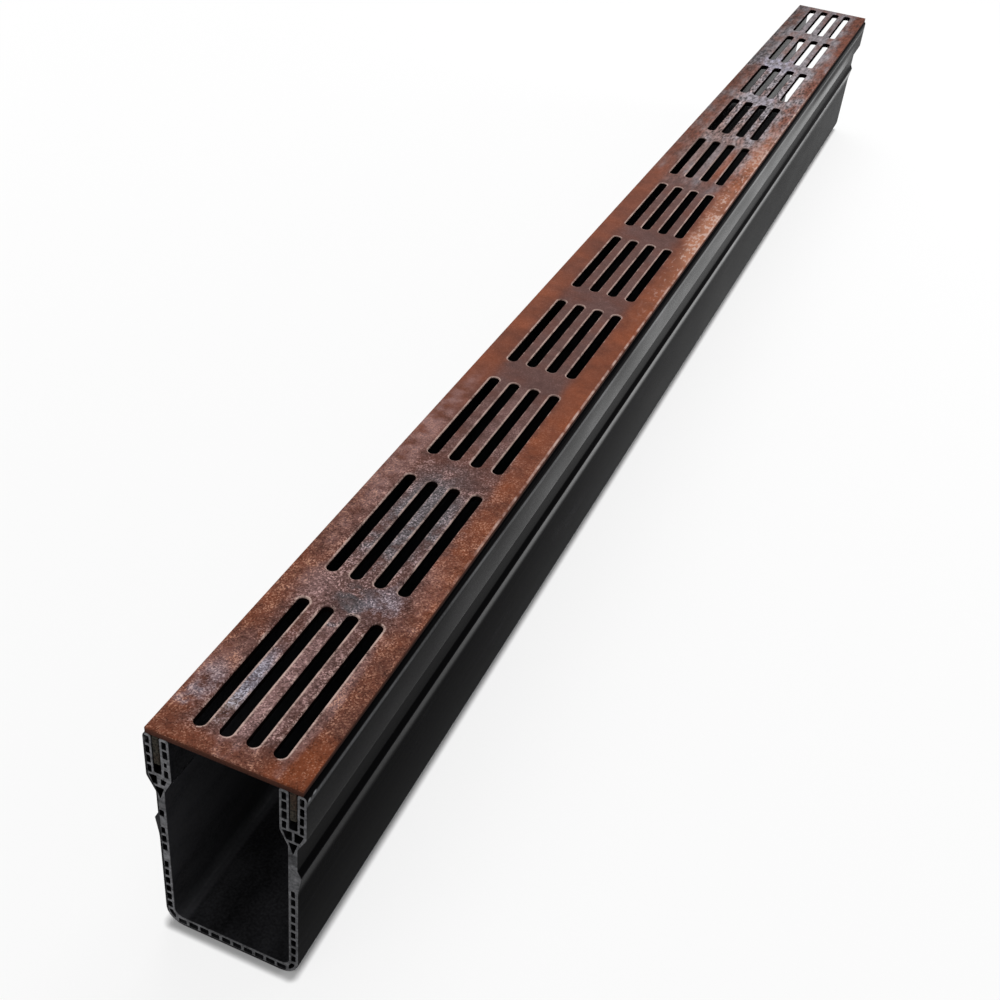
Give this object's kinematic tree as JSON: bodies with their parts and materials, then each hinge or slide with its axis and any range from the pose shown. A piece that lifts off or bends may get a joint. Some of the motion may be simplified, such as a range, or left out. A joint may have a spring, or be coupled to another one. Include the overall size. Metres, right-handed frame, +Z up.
{
  "type": "threshold channel drain",
  "caption": "Narrow threshold drain: a deep U-shaped twin-skin plastic channel with forked wall heads, and a rusted slotted steel grate whose legs drop into them.",
  "frame": {"origin": "middle of the drain's length and width, on the ground under the channel's floor", "axes": "+X across the drain, +Y along its length, +Z up through the grate"},
  "size_m": [0.0624, 1, 0.103],
  "materials": {
    "black_plastic": "satin",
    "rusted_steel": "matte"
  },
  "bodies": {
    "root": {"channel_body": "black_plastic", "grate_plate": "rusted_steel", "grate_leg_left": "rusted_steel", "grate_leg_right": "rusted_steel"}
  },
  "joints": []
}
